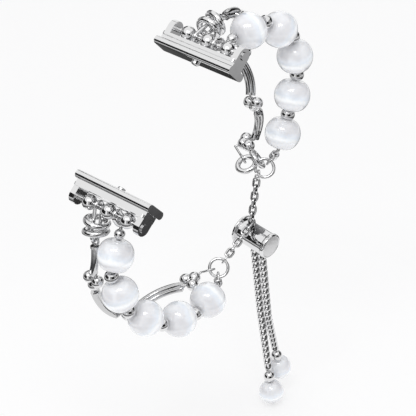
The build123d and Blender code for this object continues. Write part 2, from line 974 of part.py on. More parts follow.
def tail_bead(joints, first_normal):
    along, _, _, bead, _, _ = tail_end(joints, first_normal)
    solid = bead_solid(tail_bead_radius, tail_bead_length, tail_bead_rim, head_pin_radius + running_gap)
    return Plane(origin=bead, z_dir=along) * solid


def tails():
    """Joints and first link normals of the two loose tail ends."""
    front = drop_joints(front_joints()[-1], front_drop_links, front_drop_lean_angle, front_drop_facing_angle)
    back = drop_joints(back_joints()[-1], back_drop_links, back_drop_lean_angle, back_drop_facing_angle)
    front_first = next_normal(front_joints(), front_normal())
    back_first = next_normal(back_joints(), front_normal())
    return {"front": (front, front_first), "back": (back, back_first)}


def half_pieces(half):
    """Every piece of one half of the band, by name."""
    _, centres, directions, _, _ = bead_strand(half)
    pieces = {
        "adapter": adapter(half),
        "latch_button": latch_button(half),
        "latch_spring": latch_spring(half),
        "cross_pin": cross_pin(half),
        "pin_balls": pin_balls(half),
        "bead_link": bead_link(half),
        "bead_wire": bead_wire(half),
        "collar_ball": collar(half),
        "spacers": spacers(half),
        "crimp": crimp(half),
        "knot_link": knot_link(half),
        "knot_ring_inner": knot_ring(half, 0),
        "knot_ring_outer": knot_ring(half, 1),
        "metal_wire": metal_wire(half),
        "curved_bars": bars(half),
        "ball_clusters": clusters(half),
        "end_ring": end_ring(half),
    }
    for index, (centre, direction) in enumerate(zip(centres, directions)):
        blank = bead_solid(bead_radius, bead_length, bead_rim, hole_radius)
        pieces[f"bead_{index + 1}"] = Plane(origin=centre, z_dir=direction) * blank
    return {f"{half.name}_{name}": piece for name, piece in pieces.items()}


def tail_pieces():
    pieces = {
        "front_tail": chain(front_joints(), front_normal()),
        "back_tail": chain(back_joints(), front_normal()),
    }
    for name, (joints, normal) in tails().items():
        pieces[f"{name}_drop"] = chain(joints, normal)
        pieces[f"{name}_end_cap"] = end_cap(joints, normal)
        pieces[f"{name}_head_pin"] = head_pin(joints, normal)
        pieces[f"{name}_tail_bead"] = tail_bead(joints, normal)
    return pieces


def all_pieces():
    pieces = {**half_pieces(upper), **half_pieces(lower), **tail_pieces()}
    pieces["upper_end_knot"] = end_knot_rings(upper)
    pieces["upper_chain"] = upper_chain()
    pieces["lower_chain"] = lower_chain()
    pieces["slider_barrel"] = slider_barrel()
    pieces["slider_cap"] = slider_cap()
    pieces["slider_core"] = slider_core()
    return pieces


def write(name, piece):
    solids = []
    for item in piece if isinstance(piece, list) else [piece]:
        solids.extend(item.solids())
    shape = solids[0] if len(solids) == 1 else Compound(children=solids)
    export_step(shape, os.path.join("parts", f"{name}.step"))


os.makedirs("parts", exist_ok=True)
for name, piece in all_pieces().items():
    write(name, piece)
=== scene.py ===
import json
from math import cos, pi, sin

import bpy
import numpy as np
from bpy.props import FloatProperty, FloatVectorProperty, IntProperty, PointerProperty
from bpy.types import Operator, Panel, PropertyGroup
from mathutils import Matrix, Vector


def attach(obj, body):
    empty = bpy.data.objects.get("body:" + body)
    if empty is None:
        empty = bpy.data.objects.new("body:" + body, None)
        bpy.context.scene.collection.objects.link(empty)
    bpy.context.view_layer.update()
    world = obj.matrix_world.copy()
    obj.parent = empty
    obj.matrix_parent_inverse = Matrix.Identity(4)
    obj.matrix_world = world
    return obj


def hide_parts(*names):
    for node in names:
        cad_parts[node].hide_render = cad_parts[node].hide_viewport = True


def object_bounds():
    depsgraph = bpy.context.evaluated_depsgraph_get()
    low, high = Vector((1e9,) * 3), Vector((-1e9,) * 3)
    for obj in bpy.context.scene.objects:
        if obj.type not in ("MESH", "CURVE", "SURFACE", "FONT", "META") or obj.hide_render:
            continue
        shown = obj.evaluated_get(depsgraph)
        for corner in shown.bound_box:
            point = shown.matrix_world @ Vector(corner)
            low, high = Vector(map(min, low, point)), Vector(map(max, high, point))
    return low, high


bl_info = {
    "name": "Bead watch band",
    "version": (1, 0, 0),
    "blender": (4, 5, 0),
    "location": "View3D > Sidebar > Band",
    "description": "Beads, links, rings and finishes of a jewellery watch band",
    "category": "Object",
}

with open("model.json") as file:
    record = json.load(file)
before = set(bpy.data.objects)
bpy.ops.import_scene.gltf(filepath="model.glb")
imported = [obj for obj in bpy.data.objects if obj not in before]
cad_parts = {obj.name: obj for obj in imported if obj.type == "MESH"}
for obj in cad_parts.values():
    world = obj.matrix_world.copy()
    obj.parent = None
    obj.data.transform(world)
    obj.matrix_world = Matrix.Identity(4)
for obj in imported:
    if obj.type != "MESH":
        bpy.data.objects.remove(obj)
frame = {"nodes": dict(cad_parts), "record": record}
cad_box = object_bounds()

HALVES = ("upper", "lower")
SIDES = ("front", "back")
CHAINS = ("upper_chain", "lower_chain")
TAILS = ("front_tail", "back_tail", "front_drop", "back_drop")
BEADS_IN_STRAND = 5
FINISHES = {}

# Metres below which two places are one, and a share that reaches just past a radius
TOUCHING = 1e-7
JUST_OVER = 1.01


# Sizes and colours


def length(name, description, default):
    return FloatProperty(
        name=name, description=description, default=default, min=0.0, unit="LENGTH", precision=5
    )


def angle(name, description, default):
    return FloatProperty(
        name=name, description=description, default=default, min=0.0, max=1.5, unit="ROTATION"
    )


def colour(name, description, default):
    return FloatVectorProperty(
        name=name,
        description=description,
        default=default,
        size=3,
        min=0.0,
        max=1.0,
        subtype="COLOR",
    )


class BandSizes(PropertyGroup):
    """Sizes of the pieces that are modelled here."""

    bead_radius: length("Bead radius", "Radius of a large bead across its hole", 0.00405)
    bead_length: length("Bead length", "Length of a large bead along its hole", 0.0070)
    bead_hole: length("Bead hole", "Radius of a large bead's hole", 0.00045)
    tail_bead_radius: length("Tail bead radius", "Radius of a tail bead across its hole", 0.0030)
    tail_bead_length: length("Tail bead length", "Length of a tail bead along its hole", 0.0058)
    tail_bead_hole: length("Tail bead hole", "Radius of a tail bead's hole", 0.00035)
    crown: angle("Crown", "Height on a large bead where its end starts to flatten", 0.72)
    tail_crown: angle("Tail crown", "Height on a tail bead where its end starts to flatten", 1.15)
    link_length: length("Link length", "Length of a chain link over its wire", 0.00284)
    link_width: length("Link width", "Width of a chain link over its wire", 0.00195)
    link_wire: length("Link wire", "Radius of a chain link's wire", 0.00028)
    curb_length: length("Curb length", "Length of a twisted tail link over its wire", 0.00272)
    curb_width: length("Curb width", "Width of a twisted tail link over its wire", 0.0019)
    curb_wire: length("Curb wire", "Radius of a twisted tail link's wire", 0.00036)
    jump_radius: length("Jump ring radius", "Radius of a jump ring to its wire's middle", 0.00123)
    jump_wire: length("Jump ring wire", "Radius of a jump ring's wire", 0.00022)
    end_ring_radius: length("End ring radius", "Radius of an end ring to its wire's middle", 0.0021)
    end_ring_wire: length("End ring wire", "Radius of an end ring's wire", 0.00036)
    knot_radius: length("Knot ring radius", "Radius of a knot ring to its wire's middle", 0.00235)
    knot_wire: length("Knot ring wire", "Radius of a knot ring's wire", 0.0007)
    far_knot_radius: length("Far knot radius", "Radius of a far ring to its wire's middle", 0.0021)
    far_knot_wire: length("Far knot wire", "Radius of a far knot ring's wire", 0.0006)
    pin_ball_radius: length("Pin ball radius", "Radius of a ball on a cross pin", 0.00172)
    pin_ball_hole: length("Pin ball hole", "Radius of a pin ball's hole", 0.00065)
    collar_radius: length("Collar ball radius", "Radius of the ball before the first bead", 0.0012)
    collar_hole: length("Collar ball hole", "Radius of a collar ball's hole", 0.00043)
    end_cap_radius: length("End cap radius", "Radius of the ball above a tail bead", 0.0014)
    end_cap_hole: length("End cap hole", "Radius of an end cap's hole", 0.00035)
    cap_radius: length("Cap radius", "Radius of the slider's cap", 0.00305)
    cap_thickness: length("Cap thickness", "Thickness of the cap at its rim", 0.0011)
    cap_dome: length("Cap dome", "Rise of the cap's face at its middle", 0.00015)
    cluster_grain: length("Cluster grain", "Mesh size that melts a cluster together", 0.0001)
    cluster_passes: IntProperty(
        name="Cluster passes",
        description="Smoothing passes over a cluster's necks",
        default=10,
        min=0,
        max=40,
    )


class BandColours(PropertyGroup):
    """Colours of the finishes, as linear shares."""

    steel: colour("Polished steel", "Mirror finish of rings, balls and bars", (0.80, 0.80, 0.805))
    chain: colour("Chain steel", "Polished links", (0.80, 0.80, 0.805))
    # This colour is painted shade for the inner side of the links' wire.
    painted_recess_shade: colour("Chain recess", "Dull metal on the inner side of the links", (0.08, 0.08, 0.08))
    wire: colour("Wire steel", "Drawn wire of the strands and pins", (0.68, 0.68, 0.685))
    spring: colour("Spring steel", "Rolled strip behind the latch buttons", (0.48, 0.48, 0.49))
    milk: colour("Bead milk", "Body colour of a cat's-eye bead", (0.84, 0.85, 0.87))
    # The next two colours are painted sheen: the bright band of a bead and the bluish light beside
    # it.
    sheen: colour("Bead sheen", "Bright band of a cat's-eye bead", (0.97, 0.99, 1.0))
    glow: colour("Bead glow", "Bluish wash beside the bright band", (0.84, 0.91, 1.0))
    haze: colour("Bead haze", "Greyer clouds in a cat's-eye bead", (0.76, 0.76, 0.78))
    silicone: colour("Silicone", "Rubber core of the slider", (0.55, 0.55, 0.56))
    floor: colour("Floor", "Plain pale floor", (0.97, 0.97, 0.97))


# Shader maths


class Shade:
    """A value, colour or vector in a node tree, with the usual sums as operators."""

    MIX_FACTOR, MIX_FIRST, MIX_SECOND = 0, 6, 7
    MIXED_COLOUR = 2

    def __init__(self, tree, socket=None):
        self.tree = tree
        self.socket = socket

    def feed(self, socket, value):
        """Link a shade to a socket, or set the socket to a number, colour or vector."""
        if isinstance(value, Shade):
            self.tree.links.new(value.socket, socket)
        elif isinstance(value, (int, float)):
            socket.default_value = value
        elif len(socket.default_value) > len(value):
            socket.default_value = (*value, 1.0)
        else:
            socket.default_value = value

    def node(self, kind, output, settings=None, sockets=None):
        """Output of a new node, whose settings are set before its sockets."""
        node = self.tree.nodes.new(f"ShaderNode{kind}")
        for name, value in (settings or {}).items():
            setattr(node, name, value)
        for key, value in (sockets or {}).items():
            self.feed(node.inputs[key], value)
        return Shade(self.tree, node.outputs[output])

    def beside(self, output):
        """Another output of the node that this shade comes from."""
        return Shade(self.tree, self.socket.node.outputs[output])

    def maths(self, operation, *values):
        return self.node("Math", "Value", {"operation": operation}, dict(enumerate(values)))

    def __add__(self, other):
        return self.maths("ADD", self, other)

    def __radd__(self, other):
        return self.maths("ADD", other, self)

    def __sub__(self, other):
        return self.maths("SUBTRACT", self, other)

    def __rsub__(self, other):
        return self.maths("SUBTRACT", other, self)

    def __mul__(self, other):
        return self.maths("MULTIPLY", self, other)

    def __rmul__(self, other):
        return self.maths("MULTIPLY", other, self)

    def __abs__(self):
        return self.maths("ABSOLUTE", self)

    def larger(self, other):
        return self.maths("MAXIMUM", self, other)

    def step(self, low, high):
        """Smooth rise from 0 at low to 1 at high."""
        settings = {"interpolation_type": "SMOOTHSTEP"}
        sockets = {"Value": self, "From Min": low, "From Max": high}
        return self.node("MapRange", "Result", settings, sockets)

    def between(self, first, second):
        """Colour from first to second as this value goes from 0 to 1."""
        sockets = {self.MIX_FACTOR: self, self.MIX_FIRST: first, self.MIX_SECOND: second}
        return self.node("Mix", self.MIXED_COLOUR, {"data_type": "RGBA"}, sockets)

    def height(self):
        """Third part of a vector."""
        return self.node("SeparateXYZ", "Z", sockets={"Vector": self})

    def reach(self):
        """Length of a vector."""
        return self.node("VectorMath", "Value", {"operation": "LENGTH"}, {0: self})

    def along(self, direction):
        """Share of a vector along a fixed direction."""
        settings = {"operation": "DOT_PRODUCT"}
        return self.node("VectorMath", "Value", settings, {0: self, 1: direction})

    def stretched(self, scale):
        """This vector times a scale for each of X, Y and Z."""
        return self.node("Mapping", "Vector", sockets={"Vector": self, "Scale": scale})

    def noise(self, scale, detail=2.0, roughness=0.5):
        """Soft noise read at this vector."""
        sockets = {"Vector": self, "Scale": scale, "Detail": detail, "Roughness": roughness}
        return self.node("TexNoise", "Fac", sockets=sockets)

    def bump(self, strength, depth):
        """Normal that this height gives."""
        sockets = {"Height": self, "Strength": strength, "Distance": depth}
        return self.node("Bump", "Normal", sockets=sockets)


class Finish:
    """A new material, what its nodes start from and its one shader."""

    def __init__(self, name):
        self.material = bpy.data.materials.new(name)
        self.material.use_nodes = True
        self.tree = self.material.node_tree
        self.shader = self.tree.nodes["Principled BSDF"]
        self.start = Shade(self.tree)

    def place(self):
        """Place on the piece, in metres."""
        return self.start.node("TexCoord", "Object")

    def facing(self):
        """Direction that the surface faces."""
        return self.start.node("NewGeometry", "Normal")

    def stored(self, name, output):
        """What a piece's points carry under a name; 0 where they carry nothing."""
        return self.start.node("Attribute", output, {"attribute_name": name})

    def set(self, **values):
        """Set the shader's sockets, whose names are written with _ for a space."""
        for name, value in values.items():
            self.start.feed(self.shader.inputs[name.replace("_", " ")], value)
        return self.material


def darker(tint, share):
    return tuple(part * share for part in tint)


def grey(share):
    return (share, share, share)


# Finishes


def polished(name, tint, rough, wobble, wobble_scale):
    """Mirror-polished casting: a slow wobble in the surface, faint cloud and hairline scratches."""
    cloud_tint, cloud_dulls = 0.93, 0.05
    hair_dulls, hair_height = 0.06, 0.02
    finish = Finish(name)
    place = finish.place()
    cloud = place.noise(scale=260.0, detail=3.0)
    hairs = place.stretched((900.0, 9000.0, 2400.0)).noise(scale=1.0, detail=1.0)
    hairs = hairs.step(low=0.62, high=0.8)
    waves = place.noise(scale=wobble_scale)
    return finish.set(
        Base_Color=cloud.between(darker(tint, cloud_tint), tint),
        Metallic=1.0,
        Roughness=cloud * cloud_dulls + hairs * hair_dulls + rough,
        Normal=(waves + hairs * hair_height).bump(strength=wobble, depth=0.0002),
    )


def chain_links(name, tint, painted_shade_tint):
    """Polished links, with painted shade and duller metal on the inner side of their wire."""
    bright, recess_dulls = 0.04, 0.15
    finish = Finish(name)
    waves = finish.place().noise(scale=900.0)
    painted_recess_shade = finish.stored("painted_recess_shade", "Fac").step(low=0.38, high=0.72)
    return finish.set(
        # Painted shade: the inner side of each link's wire is darkened towards the shade tint.
        Base_Color=painted_recess_shade.between(tint, painted_shade_tint),
        Metallic=1.0,
        Roughness=painted_recess_shade * recess_dulls + bright,
        Normal=waves.bump(strength=0.12, depth=0.0002),
    )


def drawn_wire(name, tint, rough):
    """Drawn or rolled steel with fine lines."""
    line_tint, line_dulls = 0.86, 0.12
    finish = Finish(name)
    lines = finish.place().stretched((1200.0, 5200.0, 7600.0)).noise(scale=1.0, detail=3.0)
    return finish.set(
        Base_Color=lines.between(darker(tint, line_tint), tint),
        Metallic=1.0,
        Roughness=lines * line_dulls + rough,
        Normal=lines.bump(strength=0.15, depth=0.00005),
    )


def brushed_cap(name, tint, axis):
    """Cap of the slider: brushed across its face, polished round its rim."""
    bright, cloud_dulls = 0.04, 0.04
    brushed_rough, line_tint, line_dulls = 0.24, 0.90, 0.16
    finish = Finish(name)
    place = finish.place()
    face = finish.facing().along(axis).step(low=0.93, high=0.985)
    lines = place.stretched((300.0, 700.0, 14000.0)).noise(scale=1.0, detail=4.0, roughness=0.65)
    cloud = place.noise(scale=420.0)
    brushed = lines.between(darker(tint, line_tint), tint)
    return finish.set(
        Base_Color=face.between(tint, brushed),
        Metallic=1.0,
        Roughness=face * (lines * line_dulls + brushed_rough) + cloud * cloud_dulls + bright,
        Normal=(lines * face).bump(strength=0.22, depth=0.00006),
    )


def cats_eye(name, colours):
    """Milky glass with fine fibres along the hole, a painted sheen band across them and a bluish
    painted sheen beside it.
    """
    band_height, core_reach, skirt_reach = 0.18, 0.25, 0.42
    swell_reach = 0.30
    core_least, core_fibres = 0.5, 0.6
    skirt_least, skirt_fibres = 0.35, 0.5
    smooth, fibre_dulls, fibre_height = 0.08, 0.06, 0.4
    finish = Finish(name)
    place = finish.stored("bead_place", "Vector")
    fibres = place.stretched((10.0, 10.0, 0.6)).noise(scale=1.6, detail=4.0, roughness=0.65)
    clouds = place.noise(scale=1.1)
    swell = clouds * swell_reach - swell_reach / 2.0
    middle = place.height() - band_height + swell
    core = abs(middle).step(low=core_reach, high=0.0)
    skirt = abs(middle + band_height).step(low=skirt_reach, high=0.0)
    body = clouds.step(low=0.36, high=0.66).between(colours.haze, colours.milk)
    painted_sheen = core * (fibres * core_fibres + core_least)
    wash = skirt * (fibres * skirt_fibres + skirt_least)
    return finish.set(
        # Painted sheen: the bright band and the bluish band beside it are set into the base colour
        # over the glass's clouds.
        Base_Color=painted_sheen.between(wash.between(body, colours.glow), colours.sheen),
        Roughness=fibres * fibre_dulls + smooth,
        Normal=(fibres * fibre_height + clouds).bump(strength=0.05, depth=0.0001),
        # Painted glow: the bead glows faintly all over, and most in the sheen band.
        Emission_Color=painted_sheen.between((0.30, 0.31, 0.32), colours.sheen),
        Emission_Strength=0.10,
        Subsurface_Weight=0.35,
        Subsurface_Radius=(0.9, 0.95, 1.0),
        Subsurface_Scale=0.0012,
        Coat_Weight=1.0,
        Coat_Roughness=0.03,
        Coat_IOR=1.52,
        IOR=1.5,
    )


def soft_rubber(name, tint):
    """Matt rubber with a fine grain."""
    grain_tint, rough, grain_dulls = 0.85, 0.42, 0.15
    finish = Finish(name)
    grain = finish.place().noise(scale=2600.0)
    return finish.set(
        Base_Color=grain.between(darker(tint, grain_tint), tint),
        Roughness=grain * grain_dulls + rough,
        Normal=grain.bump(strength=0.2, depth=0.00005),
    )


def mix(name, recipe, *tints, **amounts):
    """Mix one finish and keep it under its slot's name."""
    FINISHES[name] = recipe(name, *tints, **amounts)


def mix_finishes(tints):
    """Mix every finish once."""
    # The bars get a darker copy of the polished steel: painted shade for their darker reflections.
    bars = darker(tints.steel, share=0.80)
    cap_axis = (0.9903, 0.0, -0.1392)
    mix("polished_steel", polished, tints.steel, rough=0.035, wobble=0.10, wobble_scale=520.0)
    mix("bar_steel", polished, bars, rough=0.06, wobble=0.25, wobble_scale=600.0)
    mix("cast_steel", polished, tints.steel, rough=0.04, wobble=0.35, wobble_scale=700.0)
    mix("chain_steel", chain_links, tints.chain, tints.painted_recess_shade)
    mix("wire_steel", drawn_wire, tints.wire, rough=0.14)
    mix("spring_steel", drawn_wire, tints.spring, rough=0.26)
    mix("brushed_cap", brushed_cap, tints.steel, axis=cap_axis)
    mix("cats_eye", cats_eye, tints)
    mix("silicone", soft_rubber, tints.silicone)


# Where the CAD solids are


def solids_of(node):
    """Triangles of each loose solid in a CAD node, as corner positions."""
    mesh = frame["nodes"][node].data
    mesh.calc_loop_triangles()
    points = np.array([vertex.co for vertex in mesh.vertices])
    triangles = np.array([triangle.vertices for triangle in mesh.loop_triangles])
    keys, shared = np.unique(np.round(points, decimals=7), axis=0, return_inverse=True)
    corners = shared.reshape(-1)[triangles]
    owner = np.arange(len(keys))
    before = None
    while not np.array_equal(before, owner):
        before = owner.copy()
        lowest = owner[corners].min(axis=1)
        for corner in corners.T:
            np.minimum.at(owner, corner, lowest)
        owner = owner[owner]
    labels = owner[corners[:, 0]]
    return [points[triangles[labels == label]] for label in np.unique(labels)]


class Place:
    """Middle of a CAD solid, and its thin and long ways."""

    def __init__(self, corners):
        crossed = np.cross(corners[:, 1] - corners[:, 0], corners[:, 2] - corners[:, 0])
        areas = np.linalg.norm(crossed, axis=1)
        self.middle = (areas[:, None] * corners.mean(axis=1)).sum(axis=0) / areas.sum()
        local = corners - self.middle
        sums = local.sum(axis=1)
        spread = np.einsum("n,nij,nik->jk", areas, local, local)
        spread += np.einsum("n,nj,nk->jk", areas, sums, sums)
        self.spreads, self.axes = np.linalg.eigh(spread)

    def round(self):
        """True for a ring, whose two long ways are equal."""
        alike = 0.1
        return self.spreads[2] - self.spreads[1] < alike * self.spreads[2]

    def matrix(self, onward=None):
        """Matrix from the origin to this place: Z the thin way, X the long way."""
        thin, long = Vector(self.axes[:, 0]), Vector(self.axes[:, 2])
        if onward is not None and thin.dot(Vector(onward) - Vector(self.middle)) < 0:
            thin = -thin
        return turned((long, thin.cross(long), thin), self.middle)

    def flat_matrix(self, front):
        """Matrix to this place that keeps its long way and turns its flat side to a direction."""
        long = Vector(self.axes[:, 2])
        flat = (front - long * front.dot(long)).normalized()
        return turned((long, flat.cross(long), flat), self.middle)


def turned(axes, middle):
    """Matrix from the origin to a middle, with the given X, Y and Z."""
    return Matrix.Translation(Vector(middle)) @ Matrix(axes).transposed().to_4x4()


def strung(middle, way):
    """Matrix from the origin to a place whose Z follows a string's direction."""
    along = Vector(way).normalized()
    return Matrix.Translation(Vector(middle)) @ along.to_track_quat("Z", "X").to_matrix().to_4x4()


def places_of(node):
    return [Place(corners) for corners in solids_of(node)]


def body_of(node):
    for body, nodes in frame["record"]["behaviour"]["bodies"].items():
        if node in nodes:
            return body
    raise RuntimeError(f"no body holds {node}")


# Modelling by hand


def deselect():
    bpy.ops.object.select_all(action="DESELECT")


def select(piece):
    """Add a piece to the selection and make it the active one."""
    piece.select_set(True)
    bpy.context.view_layer.objects.active = piece


def pick(part, test):
    """Select the vertices, edges or faces of the piece in edit mode that pass a test."""
    piece = bpy.context.object
    bpy.ops.mesh.select_mode(type=part)
    bpy.ops.mesh.select_all(action="DESELECT")
    bpy.ops.object.mode_set(mode="OBJECT")
    lists = {"VERT": piece.data.vertices, "EDGE": piece.data.edges, "FACE": piece.data.polygons}
    for item in lists[part]:
        item.select = bool(test(item))
    bpy.ops.object.mode_set(mode="EDIT")


def ends_of(edge):
    """Places of the two ends of an edge of the piece that is being shaped."""
    vertices = bpy.context.object.data.vertices
    return [vertices[index].co for index in edge.vertices]


def from_axis(point):
    return (point.x * point.x + point.y * point.y) ** 0.5


def resize(x, y, z, centre=(0.0, 0.0, 0.0)):
    bpy.ops.transform.resize(value=(x, y, z), center_override=centre)


def start_shape(name):
    """Name the new primitive and go into edit mode."""
    bpy.context.object.name = name
    bpy.ops.object.mode_set(mode="EDIT")


def finish_shape(smooth_below=0.7):
    """Leave edit mode with the normals outwards and the faces smooth."""
    bpy.ops.mesh.select_all(action="SELECT")
    bpy.ops.mesh.normals_make_consistent(inside=False)
    bpy.ops.object.mode_set(mode="OBJECT")
    bpy.ops.object.shade_smooth_by_angle(angle=smooth_below)
    return bpy.context.object


def drilled_ball(name, radius, hole):
    """Ball with a drilled hole along Z and a softened rim."""
    softened = hole * 0.16
    deselect()
    bpy.ops.mesh.primitive_uv_sphere_add(segments=48, ring_count=26, radius=radius)
    start_shape(name)
    pick("FACE", lambda face: len(face.vertices) == 3)
    bpy.ops.mesh.delete(type="FACE")
    pick("VERT", lambda vertex: from_axis(vertex.co) < TOUCHING)
    bpy.ops.mesh.delete(type="VERT")
    reaches = [from_axis(vertex.co) for vertex in bpy.context.object.data.vertices]
    rim = min(reach for reach in reaches if reach > TOUCHING)
    pick("VERT", lambda vertex: from_axis(vertex.co) < rim * JUST_OVER)
    resize(hole / rim, hole / rim, 1.0)
    bpy.ops.mesh.select_mode(type="EDGE")
    bpy.ops.mesh.bridge_edge_loops()
    pick("EDGE", lambda edge: is_rim(edge, hole))
    bpy.ops.mesh.bevel(offset=softened, segments=2, affect="EDGES")
    return finish_shape()


def is_rim(edge, hole):
    """True for an edge that runs round the mouth of the hole."""
    first, last = ends_of(edge)
    return on_hole(edge, hole) and abs(first.z - last.z) < TOUCHING


def on_hole(edge, hole):
    """True for an edge that lies on the hole."""
    return all(from_axis(end) < hole * JUST_OVER for end in ends_of(edge))


def crown_path(start, half, crown, hole):
    """Radii and heights of a bead's crowned end, from where it starts to its hole."""
    steps = 10
    softened, rounding = hole * 0.2, 0.3
    corner = start[0] - (half - start[1]) * sin(crown) / cos(crown)
    path = []
    for step in range(1, steps + 1):
        share = step / steps
        keep = (1.0 - share) ** 2
        bend = 2.0 * share * (1.0 - share)
        reach = keep * start[0] + bend * corner + share**2 * (hole + softened)
        path.append((reach, keep * start[1] + bend * half + share**2 * half))
    path.append((hole + softened * rounding, half - softened * rounding))
    path.append((hole, half - softened))
    return path


def crowned_bead(name, radius, long, crown, hole):
    """Round bead, its ends crowned towards a drilled hole along Z."""
    start = (radius * cos(crown), radius * sin(crown))
    path = crown_path(start, long / 2.0, crown, hole)
    deselect()
    bpy.ops.mesh.primitive_uv_sphere_add(segments=72, ring_count=44, radius=radius)
    start_shape(name)
    for way in (1.0, -1.0):
        bpy.ops.mesh.select_all(action="SELECT")
        bpy.ops.mesh.bisect(
            plane_co=(0.0, 0.0, way * start[1]),
            plane_no=(0.0, 0.0, way),
            clear_outer=True,
            threshold=TOUCHING,
        )
        draw_rim(way, start, path)
    pick("EDGE", lambda edge: on_hole(edge, hole))
    bpy.ops.mesh.bridge_edge_loops()
    piece = finish_shape()
    store_place(piece, radius)
    return piece


def draw_rim(way, start, path):
    """Draw the open edge at one end inwards through the given radii and heights."""
    level = start[1]
    pick("EDGE", lambda edge: all(abs(end.z * way - level) < TOUCHING for end in ends_of(edge)))
    for radius, height in path:
        share = radius / start[0]
        bpy.ops.mesh.extrude_region()
        resize(share, share, 1.0)
        bpy.ops.transform.translate(value=(0.0, 0.0, way * (height - start[1])))
        start = (radius, height)


def store_place(piece, radius):
    """Keep each point's place on the bead, in bead radii, for the finish to read."""
    stored = piece.data.attributes.new("bead_place", "FLOAT_VECTOR", "POINT")
    for vertex, item in zip(piece.data.vertices, stored.data):
        item.vector = vertex.co / radius


def wire_ring(name, radius, wire, segments=64, sides=18):
    """Round ring of wire with the fine joint where its ends were closed."""
    groove, sunk = wire * 0.06, 0.90
    at_joint = radius / segments / 10.0
    deselect()
    bpy.ops.mesh.primitive_torus_add(
        major_radius=radius, minor_radius=wire, major_segments=segments, minor_segments=sides
    )
    start_shape(name)
    pick("EDGE", lambda edge: all(end.x > 0 and abs(end.y) < at_joint for end in ends_of(edge)))
    bpy.ops.mesh.bevel(offset=groove, segments=2, affect="EDGES")
    pick("VERT", lambda vertex: vertex.co.x > 0 and abs(vertex.co.y) < groove / 2.0)
    resize(sunk, 1.0, sunk, centre=(radius, 0.0, 0.0))
    return finish_shape()


def oval_link(name, long, wide, wire, segments=28, sides=10):
    """Chain link: a ring pulled out to straight sides."""
    radius = wide / 2.0 - wire
    pull = (long - wide) / 2.0
    deselect()
    bpy.ops.mesh.primitive_torus_add(
        major_radius=radius, minor_radius=wire, major_segments=segments, minor_segments=sides
    )
    start_shape(name)
    for way in (1.0, -1.0):
        pick("VERT", lambda vertex: vertex.co.x * way > TOUCHING)
        bpy.ops.transform.translate(value=(way * pull, 0.0, 0.0))
    piece = finish_shape()
    store_recess(piece, pull, radius, wire)
    return piece


def store_recess(piece, pull, radius, wire):
    """Keep how far inside the link each point lies, where painted shade goes: 1 at the wire's inner
    side, 0 at the outer.
    """
    stored = piece.data.attributes.new("painted_recess_shade", "FLOAT", "POINT")
    for vertex, item in zip(piece.data.vertices, stored.data):
        beyond = max(abs(vertex.co.x) - pull, 0.0)
        reach = (beyond * beyond + vertex.co.y * vertex.co.y) ** 0.5
        item.value = 0.5 - (reach - radius) / (2.0 * wire)


def twisted(piece, turn):
    """Twist a piece about X."""
    select(piece)
    twist = piece.modifiers.new("twist", "SIMPLE_DEFORM")
    twist.deform_method = "TWIST"
    twist.deform_axis = "X"
    twist.angle = turn
    bpy.ops.object.modifier_apply(modifier=twist.name)
    return piece


def copies(master, name, matrices):
    """One piece made of copies of a master, each with its own mesh."""
    deselect()
    for matrix in matrices:
        twin = bpy.data.objects.new(name, master.data.copy())
        twin.data.transform(matrix)
        bpy.context.scene.collection.objects.link(twin)
        select(twin)
    if len(matrices) > 1:
        bpy.ops.object.join()
    piece = bpy.context.view_layer.objects.active
    piece.name = name
    return piece


def discard(*masters):
    for master in masters:
        bpy.data.objects.remove(master)


def stand_in(piece, node, finish):
    """Show a finished piece in a CAD node's place, moving with its body."""
    piece.data.materials.clear()
    piece.data.materials.append(FINISHES[finish])
    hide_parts(node)
    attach(piece, body_of(node))


def melted(node, name, grain, passes):
    """Copy of a CAD node whose solids run softly together, as cast."""
    deselect()
    piece = bpy.data.objects.new(name, frame["nodes"][node].data.copy())
    bpy.context.scene.collection.objects.link(piece)
    select(piece)
    bpy.ops.object.mode_set(mode="EDIT")
    bpy.ops.mesh.select_all(action="SELECT")
    bpy.ops.mesh.remove_doubles(threshold=1e-6)
    bpy.ops.object.mode_set(mode="OBJECT")
    remesh = piece.modifiers.new("grain", "REMESH")
    remesh.mode = "VOXEL"
    remesh.voxel_size = grain
    bpy.ops.object.modifier_apply(modifier=remesh.name)
    smooth = piece.modifiers.new("melt", "SMOOTH")
    smooth.factor = 0.5
    smooth.iterations = passes
    bpy.ops.object.modifier_apply(modifier=smooth.name)
    bpy.ops.object.shade_smooth()
    return piece


# Operators


class BAND_OT_finishes(Operator):
    """Mix the finishes and put them on the CAD pieces that stay"""

    bl_idname = "band.finishes"
    bl_label = "Finishes"

    def execute(self, context):
        mix_finishes(context.scene.band.colours)
        slots = {entry["node"]: entry["material_slot"] for entry in frame["record"]["subparts"]}
        for node, piece in frame["nodes"].items():
            # The curved bars take the darker copy of the steel, which is painted shade.
            name = "bar_steel" if node.endswith("curved_bars") else slots[node]
            for slot in piece.material_slots:
                slot.material = FINISHES[name]
        return {"FINISHED"}


class BAND_OT_beads(Operator):
    """Large cat's-eye beads of both strands"""

    bl_idname = "band.beads"
    bl_label = "Large beads"

    def execute(self, context):
        sizes = context.scene.band.sizes
        master = crowned_bead(
            "bead", sizes.bead_radius, sizes.bead_length, sizes.crown, sizes.bead_hole
        )
        for half in HALVES:
            nodes = [f"{half}_bead_{count}" for count in range(1, BEADS_IN_STRAND + 1)]
            places = [places_of(node)[0] for node in (*nodes, f"{half}_end_ring")]
            for node, here, after in zip(nodes, places, places[1:]):
                piece = copies(master, f"glass_{node}", [here.matrix(after.middle)])
                stand_in(piece, node, "cats_eye")
        discard(master)
        return {"FINISHED"}


